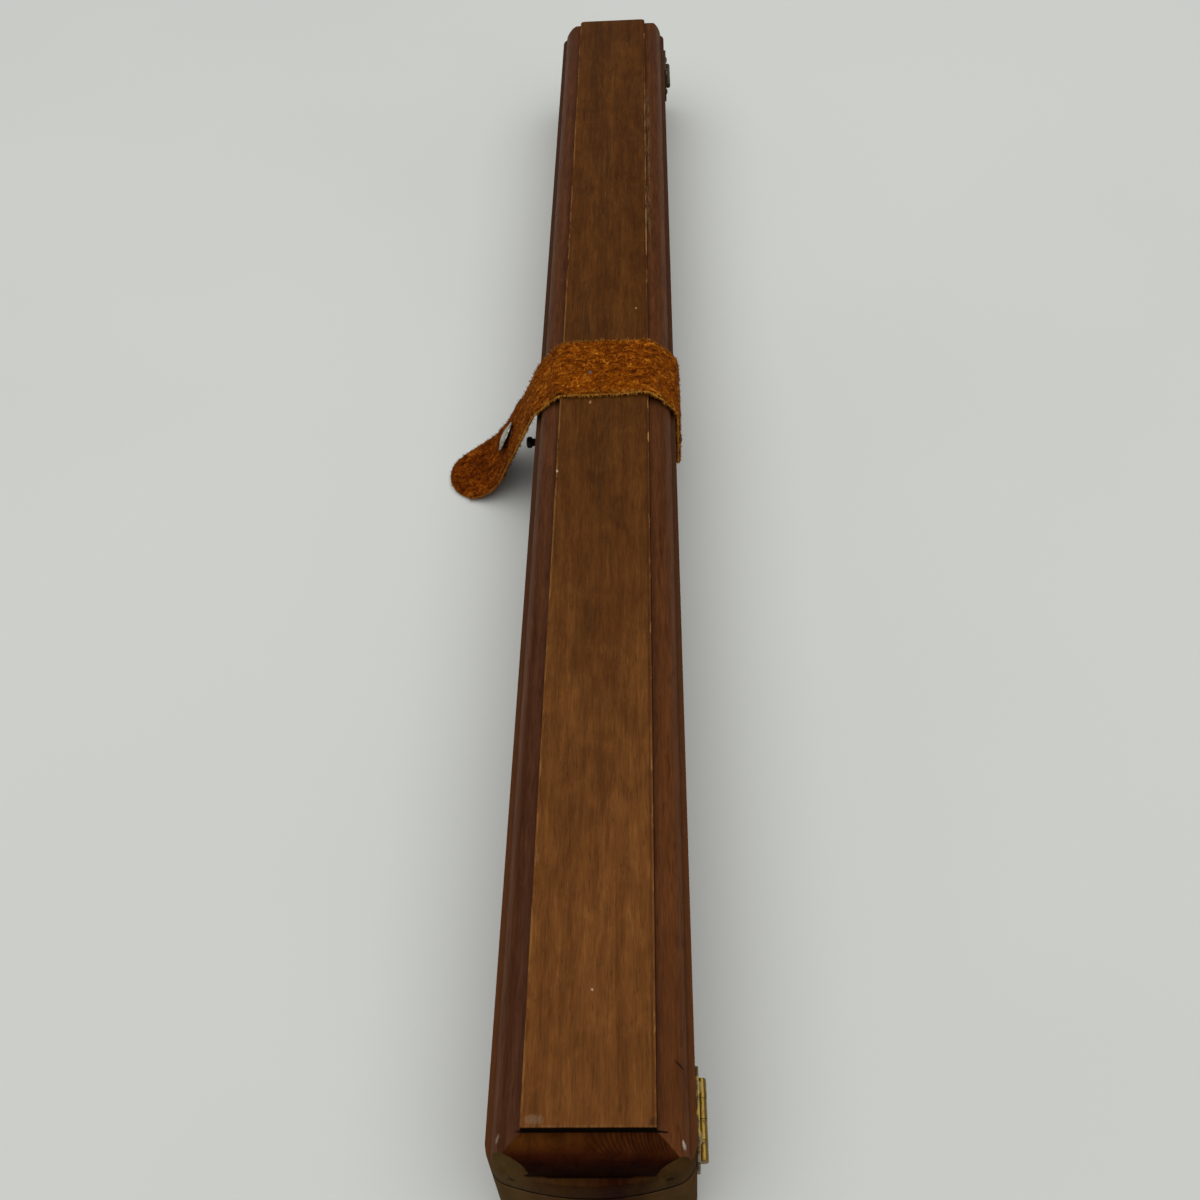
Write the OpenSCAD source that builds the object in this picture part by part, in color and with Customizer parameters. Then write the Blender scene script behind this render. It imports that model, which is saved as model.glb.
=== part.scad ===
// Long narrow wooden flute case with a moulded lid, two side hinges and a snap strap of suede.
// X runs along the case, -Y is the front with the snap, +Y is the hinge side, +Z is up.
// The origin is at the middle of the underside. The case is drawn shut, with its strap hanging open.

/* [Case] */
// Length of the case over the middle of its bowed ends
case_l = 700; // [600:5:800]
// Width of the case over its side rails
case_w = 62; // [58:1:80]
// Height of the base, from the underside to the seam
base_h = 37; // [35:1:50]
// Height of the lid, from the seam to the top of its raised field
lid_h = 24; // [22:0.5:32]
// Thickness of the side rails of base and lid
rail_t = 10; // [9.5:0.5:12]
// Length of the solid end blocks, along the middle of the case
end_l = 24; // [20:1:36]
// Thickness of the floor board
floor_t = 7; // [5:0.5:9]
// Radius of the bow of both ends, seen from above
bow_r = 83; // [70:1:160]
// Radius of the four upright corners
corner_r = 8.5; // [4:0.5:9]

/* [Lid moulding] */
// Height of the sharp step round the raised field
step_h = 3.6; // [2:0.2:4.4]
// Radius of the quarter round below the step
ovolo_r = 9.5; // [7:0.5:10.5]
// Width of the flat ledge outside the quarter round, along both sides
ledge_w = 2; // [1:0.25:4]
// Width of the flat ledge at the middle of both ends
end_ledge_w = 2.5; // [1:0.25:5]
// Height of the square edge of the moulded board, under its ledge
lip_h = 1.9; // [1.2:0.1:3]

/* [Brads] */
// Diameter of a brad
brad_d = 1.4; // [1:0.1:2]
// Diameter of a brad's head
brad_head_d = 2.4; // [2:0.1:3]
// Length of a brad
brad_l = 32; // [30:1:40]
// Depth to which a brad's head is set below the wood
brad_set = 0.5; // [0.2:0.1:1]
// Distance of the brads from the sides of the cavity
brad_to_cavity = 2; // [1.6:0.1:2.4]
// Height of the base's lower brads above the floor board
brad_low = 5; // [3:0.5:7]
// Distance of the base's upper brads below the seam
brad_high = 14; // [12:0.5:15]
// Distance of the lid's brads below the moulded board
lid_brad_down = 2; // [1.8:0.1:2.6]

/* [Hinges] */
// Length of a hinge
hinge_l = 25; // [18:1:30]
// Outer diameter of a hinge barrel
barrel_d = 3; // [2.6:0.1:3.4]
// Diameter of a hinge pin
pin_d = 1.4; // [1:0.1:1.6]
// Thickness of a hinge leaf
leaf_t = 1; // [0.8:0.1:1.2]
// Reach of a leaf from the hinge axis
leaf_w = 10; // [9:0.5:11]
// Distance of the hinge axis outside the back of the case
axis_out = 1.9; // [1.9:0.05:2.2]
// Distance from the near end of the case to the middle of the near hinge
near_hinge_in = 22.8; // [20:0.1:60]
// Distance from the far end of the case to the middle of the far hinge
far_hinge_in = 37.5; // [20:0.1:60]
// Distance between the two screws of a leaf
screw_gap = 15; // [10:0.5:18]
// Height of the screws from the hinge axis
screw_up = 6.3; // [5.6:0.1:6.8]
// Shank diameter of a hinge screw
screw_d = 2; // [1.6:0.1:2.4]
// Head diameter of a hinge screw
screw_head_d = 4; // [3.6:0.1:4.6]
// Height of a screw's domed head
screw_head_h = 0.8; // [0.6:0.05:1]
// Length of a hinge screw's shank, under its head
screw_l = 7; // [5:0.5:7]

/* [Strap] */
// Width of the suede strap
strap_w = 37; // [26:1:44]
// Thickness of the suede
strap_t = 2.2; // [1.6:0.1:2.8]
// Slope of the strap where it leaves the raised field, down from level
strap_slope = 41; // [38:0.5:42]
// Height of the strap's fixed end above the underside, on the back of the base
anchor_z = 20; // [14:1:22]
// Height of the two tacks above the strap's fixed end
anchor_tack_up = 6; // [4:0.5:8]
// Angle from upright at which the loose strap falls
fall_angle = 26; // [22:1:30]
// Length of the loose strap above its bend
drop_l = 41; // [41:1:44]
// Length of the tongue that lies flat past its curl
tongue_flat = 6; // [4:0.5:14]
// Radius of the tongue's rounded corners
tongue_r = 15; // [8:1:16]

/* [Tacks] */
// Diameter of a tack's head
tack_d = 5; // [4:0.5:7]
// Rise of a tack's head
tack_h = 1; // [0.8:0.1:1.4]
// Diameter of a tack's shank
tack_shank_d = 1.6; // [1.2:0.1:2]
// Length of a tack's shank, under its head
tack_l = 8; // [6:0.5:8.5]
// Distance of the tacks from the middle of the strap's width
tack_out = 9; // [5:0.5:10]
// Diameter of the head of the lid's small tack
lid_tack_d = 2.4; // [2.2:0.1:5]
// Rise of the head of the lid's small tack
lid_tack_h = 0.4; // [0.3:0.05:1]
// Distance of the lid's tack from the middle of the strap's width
lid_tack_side = 4.4; // [0:0.2:10]
// Distance of the lid's tack in front of the middle of the lid
lid_tack_front = 6.4; // [0:0.2:12]

/* [Snap] */
// Diameter of the snap's cap
cap_d = 15; // [13:0.5:15.5]
// Rise of the cap over the suede
cap_h = 2.2; // [1.6:0.1:2.8]
// Diameter of the socket ring behind the strap
socket_d = 11.2; // [10.6:0.1:12.4]
// Thickness of the socket ring
socket_t = 2; // [1.6:0.1:2.4]
// Wall of the post that joins cap and socket
post_t = 0.7; // [0.5:0.1:0.9]
// Bore of the post, which takes the stud's head
socket_bore = 7.4; // [7:0.1:7.8]
// Distance from the lid's edge down the strap to the snap
snap_s = 33; // [32:0.5:33]
// Diameter of the stud's head
stud_d = 5.4; // [4.8:0.1:5.8]
// Length of the stud's head
stud_head_l = 2.6; // [2:0.1:3]
// Diameter of the stud's neck
neck_d = 3.6; // [3:0.1:4]
// Reach of the stud from the front of the base
stud_reach = 8.2; // [7.8:0.1:8.4]
// Diameter of the stud's washer
washer_d = 9.6; // [8:0.2:12]
// Thickness of the stud's washer
washer_t = 1; // [0.8:0.1:1.4]
// Diameter of the spacer on the stud
spacer_d = 6.4; // [5.6:0.1:7]
// Length of the spacer on the stud
spacer_l = 2.7; // [2:0.1:2.9]

/* [Inside] */
// Thickness of the felt lining
lining_t = 1.5; // [1:0.1:2]
// Diameter of the flute that the cradles take
flute_d = 27; // [20:1:28]
// Wood under the flute in a cradle
cradle_under = 2.5; // [2:0.5:5]
// Length of a cradle along the case
cradle_l = 24; // [15:1:40]
// Distance from a cavity's end to the middle of the outer cradles
cradle_in = 75; // [50:1:120]

/* [Clearances] */
// Radial clearance of a pin, screw or brad in its hole
fit_gap = 0.05; // [0.03:0.01:0.08]
// Gap between the turning parts of a hinge
hinge_gap = 0.25; // [0.2:0.05:0.35]
// Gap of soft pieces to what they hang beside
soft_gap = 0.3; // [0.3:0.1:0.6]
// Gap at a bend of the strap, between its two lengths
bend_gap = 0.6; // [0.5:0.1:0.8]

/* [Hidden] */
$fn = 72;

// Small overlap of solids that are joined, and of cuts past a face
eps = 0.01;
cut = 1;
front_y = -case_w / 2;
back_y = case_w / 2;
field_z = base_h + lid_h;
ledge_z = field_z - step_h - ovolo_r;
board_z = ledge_z - lip_h;
field_half_w = case_w / 2 - ledge_w - ovolo_r;
field_half_l = case_l / 2 - end_ledge_w - ovolo_r;
cavity_half_l = case_l / 2 - end_l;
cavity_half_w = case_w / 2 - rail_t;

// Plan of a bowed end: the corner circle touches the side and the bow from inside
bow_x = case_l / 2 - bow_r;
corner_y = case_w / 2 - corner_r;
corner_x = bow_x + sqrt(pow(bow_r - corner_r, 2) - pow(corner_y, 2));
bow_half_angle = asin(corner_y / (bow_r - corner_r));

// The outer face of an end in line with the brads, and the heights of the brads
brad_y = cavity_half_w + brad_to_cavity;
brad_end_x = brad_y < bow_r * sin(bow_half_angle)
  ? bow_x + sqrt(pow(bow_r, 2) - pow(brad_y, 2))
  : corner_x + sqrt(pow(corner_r, 2) - pow(brad_y - corner_y, 2));
base_brad_zs = [floor_t + brad_low, base_h - brad_high];
lid_brad_z = board_z - lid_brad_down;

// Hinge axis and places
axis_y = back_y + axis_out;
axis_z = base_h;
near_hinge_x = case_l / 2 - near_hinge_in;
far_hinge_x = far_hinge_in - case_l / 2;
hinge_xs = [near_hinge_x, far_hinge_x];
knuckles = 4;
knuckle_l = hinge_l / knuckles;
screw_xs = [for (x = hinge_xs, side = [-1, 1]) x + side * screw_gap / 2];

// Middle line of the strap, seen along the case as points of Y and Z
half_t = strap_t / 2;
edge_y = case_w / 2 + soft_gap + half_t;
edge_z = field_z
  + (half_t - sin(strap_slope) * (edge_y - field_half_w)) / cos(strap_slope);
crest_y = field_half_w + half_t * tan(strap_slope / 2);
back_run_y = back_y + half_t;
back_bend_z = field_z
  + (half_t - sin(strap_slope) * (back_run_y - field_half_w)) / cos(strap_slope);
crest_z = field_z + half_t;
seam_gap = 1.7;
bend = [-edge_y, edge_z];
function along(angle) = [-sin(angle), -cos(angle)];
knee = bend + drop_l * along(fall_angle);
curl_r = (knee[1] - half_t) / (1 - sin(fall_angle));
curl_c = knee + curl_r * [-cos(fall_angle), sin(fall_angle)];
curl_step = (90 - fall_angle) / 10;
tip_y = curl_c[0] - tongue_flat;

// Snap, at rest and shut. Shut, the strap leans on the stud's spacer.
snap_at = bend + snap_s * along(fall_angle);
shut_gap = 0.9;
shut_out = washer_t + spacer_l + shut_gap + socket_t + half_t;
shut_angle = asin((shut_out - soft_gap - half_t) / snap_s);
stud_z = edge_z - snap_s * cos(shut_angle);
stud_shank_l = rail_t - 2;

tack_xs = [-tack_out, tack_out];
lid_tack_y = -lid_tack_front;
// The tongue's corners are limited by its width
tongue_corner = min(tongue_r, strap_w / 2 - cut);

flute_z = floor_t + lining_t + cradle_under + flute_d / 2;
cradle_xs = [cavity_half_l - cradle_in, 0, cradle_in - cavity_half_l];

oak = [0.36, 0.2, 0.1];
end_wood = [0.45, 0.25, 0.11];
suede = [0.66, 0.36, 0.1];
brass = [0.68, 0.56, 0.26];
steel = [0.2, 0.18, 0.17];
nickel = [0.72, 0.73, 0.75];
felt = [0.35, 0.07, 0.1];

// Outline of the case seen from above
module plan2d() {
  square([2 * corner_x, case_w], center = true);
  for (side = [0, 180]) rotate(side) {
    for (edge = [-1, 1]) translate([corner_x, edge * corner_y]) circle(corner_r);
    intersection() {
      translate([bow_x, 0]) circle(bow_r, $fn = 180);
      polygon([[bow_x, 0],
        [bow_x + 2 * bow_r, -2 * bow_r * tan(bow_half_angle)],
        [bow_x + 2 * bow_r, 2 * bow_r * tan(bow_half_angle)]]);
    }
  }
}

module plan(low, high) {
  translate([0, 0, low]) linear_extrude(high - low) plan2d();
}

// Outline of the moulded board across its field, whose half size is given
module moulding2d(half_field, ledge) {
  translate([-half_field, board_z]) square([2 * half_field, field_z - board_z]);
  full = half_field + ovolo_r + ledge;
  translate([-full, board_z]) square([2 * full, lip_h]);
  intersection() {
    for (side = [-1, 1]) translate([side * half_field, ledge_z]) circle(ovolo_r);
    translate([-full, board_z]) square([2 * full, field_z]);
  }
}

// Extrudes an outline of Y and Z along the case
module along_x(length) {
  translate([-length / 2, 0, 0]) rotate([90, 0, 90]) linear_extrude(length) children();
}

// Holes for the two brads that go through an end block into the rails at one height
module brad_hole(x_end, z) {
  for (side = [-1, 1]) translate([x_end, side * brad_y, z])
    rotate([0, x_end > 0 ? -90 : 90, 0]) {
      translate([0, 0, brad_set]) cylinder(d = brad_d + 2 * fit_gap, h = brad_l + fit_gap);
      translate([0, 0, -corner_r])
        cylinder(d = brad_head_d + 2 * fit_gap, h = corner_r + 2 * brad_set);
    }
}

module brads(x_end, z) {
  for (side = [-1, 1]) translate([x_end, side * brad_y, z])
    rotate([0, x_end > 0 ? -90 : 90, 0]) {
      translate([0, 0, brad_set + eps]) cylinder(d = brad_d, h = brad_l - brad_set);
      translate([0, 0, brad_set]) cylinder(d = brad_head_d, h = brad_set);
    }
}

module rail(side, low, high) {
  translate([-cavity_half_l, side > 0 ? cavity_half_w : front_y, low])
    cube([2 * cavity_half_l, rail_t, high - low]);
}

module end_block(side, low, high) {
  intersection() {
    plan(low, high);
    translate([side > 0 ? cavity_half_l : -case_l, -case_w, low - cut])
      cube([case_l - cavity_half_l, 2 * case_w, high - low + 2 * cut]);
  }
}

module screw_holes(up) {
  for (x = screw_xs) translate([x, back_y + cut, axis_z + up * screw_up])
    rotate([90, 0, 0])
      cylinder(d = screw_d + 2 * fit_gap, h = screw_l - leaf_t + cut + fit_gap, $fn = 32);
}

module base_floor() {
  color(oak) plan(0, floor_t);
}

module base_front_rail() {
  color(oak) difference() {
    rail(-1, floor_t, base_h);
    for (side = [-1, 1], z = base_brad_zs) brad_hole(side * brad_end_x, z);
    translate([0, front_y - cut, stud_z]) rotate([-90, 0, 0])
      cylinder(d = neck_d + 2 * fit_gap, h = stud_shank_l + cut + fit_gap);
  }
}

module base_back_rail() {
  color(oak) difference() {
    rail(1, floor_t, base_h);
    for (side = [-1, 1], z = base_brad_zs) brad_hole(side * brad_end_x, z);
    screw_holes(-1);
    tack_holes();
  }
}

module base_end(side) {
  color(end_wood) difference() {
    end_block(side, floor_t, base_h);
    for (z = base_brad_zs) brad_hole(side * brad_end_x, z);
    screw_holes(-1);
  }
}

module base_near_end() base_end(1);

module base_far_end() base_end(-1);

module base_brads() {
  color(steel) for (side = [-1, 1], z = base_brad_zs) brads(side * brad_end_x, z);
}

// Felt glued inside a cavity, as an open tray
module tray(low, high) {
  translate([-cavity_half_l, -cavity_half_w, low])
    cube([2 * cavity_half_l, 2 * cavity_half_w, high - low]);
}

module base_lining() {
  color(felt) difference() {
    tray(floor_t, base_h - soft_gap);
    translate([-cavity_half_l + lining_t, -cavity_half_w + lining_t, floor_t + lining_t])
      cube([2 * (cavity_half_l - lining_t), 2 * (cavity_half_w - lining_t), base_h]);
  }
}

module cradle(x) {
  half = cavity_half_w - lining_t - fit_gap;
  low = floor_t + lining_t;
  color(felt) difference() {
    translate([x - cradle_l / 2, -half, low]) cube([cradle_l, 2 * half, flute_z - low]);
    translate([x, 0, flute_z]) rotate([0, 90, 0])
      cylinder(d = flute_d, h = cradle_l + 2 * cut, center = true);
  }
}

module cradle_near() cradle(cradle_xs[0]);

module cradle_middle() cradle(cradle_xs[1]);

module cradle_far() cradle(cradle_xs[2]);

module lid_board() {
  color(oak) difference() {
    intersection() {
      along_x(2 * case_l) moulding2d(field_half_w, ledge_w);
      translate([0, case_w, 0]) rotate([90, 0, 0]) linear_extrude(2 * case_w)
        moulding2d(field_half_l, end_ledge_w + bow_r);
      plan(board_z, field_z + cut);
    }
    lid_tack_hole();
  }
}

module lid_front_rail() {
  color(oak) difference() {
    rail(-1, base_h, board_z);
    for (side = [-1, 1]) brad_hole(side * brad_end_x, lid_brad_z);
  }
}

module lid_back_rail() {
  color(oak) difference() {
    rail(1, base_h, board_z);
    for (side = [-1, 1]) brad_hole(side * brad_end_x, lid_brad_z);
    screw_holes(1);
  }
}

module lid_end(side) {
  color(end_wood) difference() {
    end_block(side, base_h, board_z);
    brad_hole(side * brad_end_x, lid_brad_z);
    screw_holes(1);
  }
}

module lid_near_end() lid_end(1);

module lid_far_end() lid_end(-1);

module lid_brads() {
  color(steel) for (side = [-1, 1]) brads(side * brad_end_x, lid_brad_z);
}

module lid_lining() {
  color(felt) difference() {
    tray(base_h + soft_gap, board_z);
    translate([-cavity_half_l + lining_t, -cavity_half_w + lining_t, 0])
      cube([2 * (cavity_half_l - lining_t), 2 * (cavity_half_w - lining_t), board_z - lining_t]);
  }
}

// One leaf of a hinge: up is 1 on the lid and -1 on the base
module leaf(x, up) {
  first = up > 0 ? 1 : 0;
  color(brass) difference() {
    union() {
      translate([x - hinge_l / 2, back_y, up > 0 ? axis_z + hinge_gap : axis_z - leaf_w])
        cube([hinge_l, leaf_t, leaf_w - hinge_gap]);
      for (k = [first:2:knuckles - 1])
        translate([x - hinge_l / 2 + k * knuckle_l + hinge_gap / 4, axis_y, axis_z])
          rotate([0, 90, 0]) cylinder(d = barrel_d, h = knuckle_l - hinge_gap / 2, $fn = 48);
    }
    // Room for the other leaf's knuckles
    for (k = [1 - first:2:knuckles - 1])
      translate([x - hinge_l / 2 + k * knuckle_l - hinge_gap / 4, axis_y, axis_z])
        rotate([0, 90, 0])
          cylinder(d = barrel_d + 2 * hinge_gap, h = knuckle_l + hinge_gap / 2, $fn = 48);
    translate([x, axis_y, axis_z]) rotate([0, 90, 0])
      cylinder(d = pin_d + 2 * fit_gap, h = hinge_l + 2 * cut, center = true, $fn = 32);
    for (side = [-1, 1]) translate([x + side * screw_gap / 2, back_y, axis_z + up * screw_up])
      rotate([90, 0, 0]) cylinder(d = screw_d + 2 * fit_gap, h = 4 * leaf_t, center = true, $fn = 32);
  }
}

module pin(x) {
  color(brass) translate([x, axis_y, axis_z]) rotate([0, 90, 0])
    cylinder(d = pin_d, h = hinge_l, center = true, $fn = 32);
}

module near_hinge_base_leaf() leaf(near_hinge_x, -1);

module near_hinge_lid_leaf() leaf(near_hinge_x, 1);

module near_hinge_pin() pin(near_hinge_x);

module far_hinge_base_leaf() leaf(far_hinge_x, -1);

module far_hinge_lid_leaf() leaf(far_hinge_x, 1);

module far_hinge_pin() pin(far_hinge_x);

// A domed head of a given size, rising along +Z from zero
module dome(d, h) {
  ball_r = (pow(d / 2, 2) + pow(h, 2)) / (2 * h);
  intersection() {
    translate([0, 0, h - ball_r]) sphere(ball_r, $fn = 180);
    cylinder(d = 2 * d, h = 2 * h);
  }
}

// A slotted screw with its head on a face, pointing along +Z
module screw() {
  difference() {
    union() {
      dome(screw_head_d, screw_head_h);
      translate([0, 0, -screw_l]) cylinder(d = screw_d, h = screw_l + eps, $fn = 32);
    }
    translate([-screw_head_d, -screw_d / 8, screw_head_h / 2])
      cube([2 * screw_head_d, screw_d / 4, screw_head_h]);
  }
}

module hinge_screws(up) {
  color(brass) for (i = [0:len(screw_xs) - 1])
    translate([screw_xs[i], back_y + leaf_t, axis_z + up * screw_up])
      rotate([-90, 35 * i, 0]) screw();
}

module base_hinge_screws() hinge_screws(-1);

module lid_hinge_screws() hinge_screws(1);

// A strip of suede that follows a line of points, as an outline of Y and Z
function unit(v) = v / norm(v);
function side_of(line, i) =
  let (a = unit(line[min(i + 1, len(line) - 1)] - line[min(i, len(line) - 2)]),
    b = unit(line[max(i, 1)] - line[max(i - 1, 0)]),
    m = unit(a + b))
  [-m[1], m[0]] / (m * a);
module strip2d(line) {
  polygon(concat([for (i = [0:len(line) - 1]) line[i] - half_t * side_of(line, i)],
    [for (i = [len(line) - 1:-1:0]) line[i] + half_t * side_of(line, i)]));
}

module strap_anchor() {
  color(suede) difference() {
    translate([-strap_w / 2, back_y, anchor_z])
      cube([strap_w, strap_t, base_h - seam_gap - anchor_z]);
    tack_holes();
  }
}

// Holes for the two tacks through the strap's fixed end into the back rail
module tack_holes() {
  for (x = tack_xs) translate([x, back_y + strap_t + cut, anchor_z + anchor_tack_up])
    rotate([90, 0, 0]) cylinder(d = tack_shank_d + 2 * fit_gap, h = tack_l + cut + fit_gap, $fn = 32);
}

// The hole for the tack that holds the strap to the lid
module lid_tack_hole() {
  translate([lid_tack_side, lid_tack_y, field_z + strap_t - tack_l - fit_gap])
    cylinder(d = tack_shank_d + 2 * fit_gap, h = tack_l + cut, $fn = 32);
}

module tack(d, h) {
  dome(d, h);
  translate([0, 0, -tack_l]) cylinder(d = tack_shank_d, h = tack_l + eps, $fn = 32);
}

module anchor_tacks() {
  color(steel) for (x = tack_xs) translate([x, back_y + strap_t, anchor_z + anchor_tack_up])
    rotate([-90, 0, 0]) tack(tack_d, tack_h);
}

module strap_over_lid() {
  color(suede) difference() {
    along_x(strap_w) strip2d([[back_run_y, base_h + seam_gap], [back_run_y, back_bend_z],
      [crest_y, crest_z], [-crest_y, crest_z], bend]);
    along_x(2 * strap_w) translate(bend) circle(half_t + bend_gap);
    lid_tack_hole();
  }
}

module strap_tack() {
  color(nickel) translate([lid_tack_side, lid_tack_y, field_z + strap_t])
    tack(lid_tack_d, lid_tack_h);
}

// Moves what is drawn at the middle of the hanging strap to the snap: +Z then points out of it
module at_snap() {
  translate([0, snap_at[0], snap_at[1]]) rotate([90 - fall_angle, 0, 0]) children();
}

module strap_drop() {
  color(suede) difference() {
    along_x(strap_w) union() {
      strip2d([bend, knee]);
      translate(bend) circle(half_t - eps);
    }
    along_x(2 * strap_w) translate(knee) circle(half_t + bend_gap);
    at_snap() cylinder(d = socket_bore + 2 * post_t + 2 * fit_gap, h = 4 * strap_t, center = true);
  }
}

module snap_cap() {
  color(nickel) at_snap() translate([0, 0, half_t]) difference() {
    dome(cap_d, cap_h);
    translate([0, 0, -cut]) cylinder(d = socket_bore, h = cut + cap_h / 3);
  }
}

module snap_post() {
  color(nickel) at_snap() translate([0, 0, -half_t - socket_t]) difference() {
    cylinder(d = socket_bore + 2 * post_t, h = strap_t + socket_t);
    translate([0, 0, -cut]) cylinder(d = socket_bore, h = strap_t + socket_t + 2 * cut);
  }
}

module snap_socket() {
  color(nickel) at_snap() translate([0, 0, -half_t - socket_t]) difference() {
    cylinder(d = socket_d, h = socket_t);
    translate([0, 0, -cut])
      cylinder(d = socket_bore + 2 * post_t + 2 * fit_gap, h = socket_t + 2 * cut);
  }
}

// The curl from the knee to level ground, then the flat tongue
module strap_tongue() {
  curl = [for (angle = [fall_angle:curl_step:90 + eps])
    curl_c + curl_r * [cos(angle), -sin(angle)]];
  color(suede) intersection() {
    along_x(strap_w) union() {
      strip2d(concat(curl, [[tip_y, half_t]]));
      translate(knee) circle(half_t - eps);
    }
    linear_extrude(base_h) union() {
      translate([-strap_w / 2, tip_y + tongue_corner]) square([strap_w, case_w]);
      translate([tongue_corner - strap_w / 2, tip_y])
        square([strap_w - 2 * tongue_corner, case_w]);
      for (side = [-1, 1])
        translate([side * (strap_w / 2 - tongue_corner), tip_y + tongue_corner])
          circle(tongue_corner);
    }
  }
}

module on_stud(out) {
  translate([0, front_y - out, stud_z]) rotate([90, 0, 0]) children();
}

module snap_stud() {
  color(steel) {
    on_stud(-stud_shank_l) cylinder(d = neck_d, h = stud_shank_l + stud_reach - stud_head_l + eps);
    on_stud(stud_reach - stud_head_l) rotate_extrude() {
      square([stud_d / 2 - stud_head_l / 4, stud_head_l]);
      translate([0, stud_head_l / 4]) square([stud_d / 2, stud_head_l / 2]);
      for (h = [1, 3]) translate([stud_d / 2 - stud_head_l / 4, h * stud_head_l / 4])
        circle(stud_head_l / 4);
    }
  }
}

module ring(d, h) {
  difference() {
    cylinder(d = d, h = h);
    translate([0, 0, -cut]) cylinder(d = neck_d + 2 * fit_gap, h = h + 2 * cut);
  }
}

module stud_washer() {
  color(brass) on_stud(0) ring(washer_d, washer_t);
}

module stud_spacer() {
  color(steel) on_stud(washer_t) ring(spacer_d, spacer_l);
}

base_floor();
base_front_rail();
base_back_rail();
base_near_end();
base_far_end();
base_brads();
base_lining();
cradle_near();
cradle_middle();
cradle_far();
lid_board();
lid_front_rail();
lid_back_rail();
lid_near_end();
lid_far_end();
lid_brads();
lid_lining();
near_hinge_base_leaf();
near_hinge_lid_leaf();
near_hinge_pin();
far_hinge_base_leaf();
far_hinge_lid_leaf();
far_hinge_pin();
base_hinge_screws();
lid_hinge_screws();
strap_anchor();
anchor_tacks();
strap_over_lid();
strap_tack();
strap_drop();
snap_cap();
snap_post();
snap_socket();
strap_tongue();
snap_stud();
stud_spacer();
stud_washer();
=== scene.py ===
"""Looks of a long wooden flute case with a suede snap strap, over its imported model.

X runs along the case towards the camera, +Y is the hinge side and +Z is up. Patterns and shapes are
written in millimetres, which MM turns into metres, and colours as they look on a screen.
"""
import math
import random

import bmesh
import bpy
from mathutils import Matrix, Vector, noise


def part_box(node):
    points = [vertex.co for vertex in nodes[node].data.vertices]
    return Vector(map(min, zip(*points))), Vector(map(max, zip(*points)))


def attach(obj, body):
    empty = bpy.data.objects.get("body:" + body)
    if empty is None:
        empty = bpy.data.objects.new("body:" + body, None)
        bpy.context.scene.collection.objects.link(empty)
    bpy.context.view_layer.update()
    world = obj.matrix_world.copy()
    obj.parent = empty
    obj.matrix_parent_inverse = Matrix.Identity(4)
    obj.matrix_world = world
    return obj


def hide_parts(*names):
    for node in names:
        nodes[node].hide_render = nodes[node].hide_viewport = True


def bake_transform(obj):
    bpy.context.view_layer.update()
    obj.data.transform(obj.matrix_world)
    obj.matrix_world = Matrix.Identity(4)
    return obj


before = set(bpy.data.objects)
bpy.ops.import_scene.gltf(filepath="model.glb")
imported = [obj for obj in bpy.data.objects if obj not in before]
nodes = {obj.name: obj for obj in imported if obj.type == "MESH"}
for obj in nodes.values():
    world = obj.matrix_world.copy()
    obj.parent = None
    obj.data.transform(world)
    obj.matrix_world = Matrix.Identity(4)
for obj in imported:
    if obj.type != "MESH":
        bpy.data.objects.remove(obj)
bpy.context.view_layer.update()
MM = 0.001

# Heights above the table and half sizes from the part's source, in millimetres
SEAM = 37
BOARD_FOOT = 46
LEDGE_TOP = 47.9
STEP_FOOT = 57.4
FIELD_TOP = 61
FIELD_HALF_L = 338
FIELD_HALF_W = 19.5
CASE_HALF_W = 31
ROUND_R = 9.5
# The height round which the quarter round turns
ROUND_Z = 48
# Plan of the ends: the bow's middle and radius, and the round corners' middle and radius
BOW_X, BOW_R = 267, 83
CORNER_X, CORNER_Y, CORNER_R = 338.02, 22.5, 8.5
STUD_Z = 18.85

# Sizes and places of the strap from the part's source, in metres
STRAP_W = 37 * MM
STRAP_T = 2.2 * MM
FALL = math.radians(26)
BEND = Vector((0, -32.4, 51.2437)) * MM
KNEE = Vector((0, -50.3732, 14.3932)) * MM
TIP_Y = -77.65 * MM
SNAP_AT = Vector((0, -46.8662, 21.5835)) * MM
SNAP_OUT = Vector((0, -math.cos(FALL), math.sin(FALL)))

# Choices made here, in millimetres and degrees
EDGE_ROUND = 0.35
STRAP_GRID = 0.5
HEAD_ROOM = 3.5
CAP_STANDS_OFF = 0.9
CAP_TILT = 9
FELT_T = 1.5


# -------------------------------- camera and light
def place_camera():
    lens = bpy.data.cameras.new("camera")
    lens.lens = 40.53
    lens.sensor_width = 36
    lens.clip_start = 0.01
    camera = bpy.data.objects.new("camera", lens)
    right = Vector((-0.01659, 0.99843, -0.05362))
    up = Vector((-0.74867, 0.02315, 0.66253))
    back = Vector((0.66273, 0.05114, 0.7471))
    turn = Matrix((right, up, back)).transposed().to_4x4()
    camera.matrix_world = Matrix.Translation((0.48, 0.0265, 0.4462)) @ turn
    bpy.context.collection.objects.link(camera)
    bpy.context.scene.camera = camera


def lamp(name, place, size, power):
    """A square lamp that shines straight down."""
    light = bpy.data.lights.new(name, "AREA")
    light.size = size
    light.energy = power
    holder = bpy.data.objects.new(name, light)
    holder.location = place
    bpy.context.collection.objects.link(holder)


place_camera()
bpy.context.scene.view_settings.view_transform = "Standard"


# -------------------------------- finishes
def tone(*screen):
    """A colour given as it looks on a screen, from 0 to 255, as a linear one."""
    shares = [value / 255 for value in screen]
    linear = [c / 12.92 if c <= 0.04045 else ((c + 0.055) / 1.055) ** 2.4 for c in shares]
    return (*linear, 1)


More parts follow.
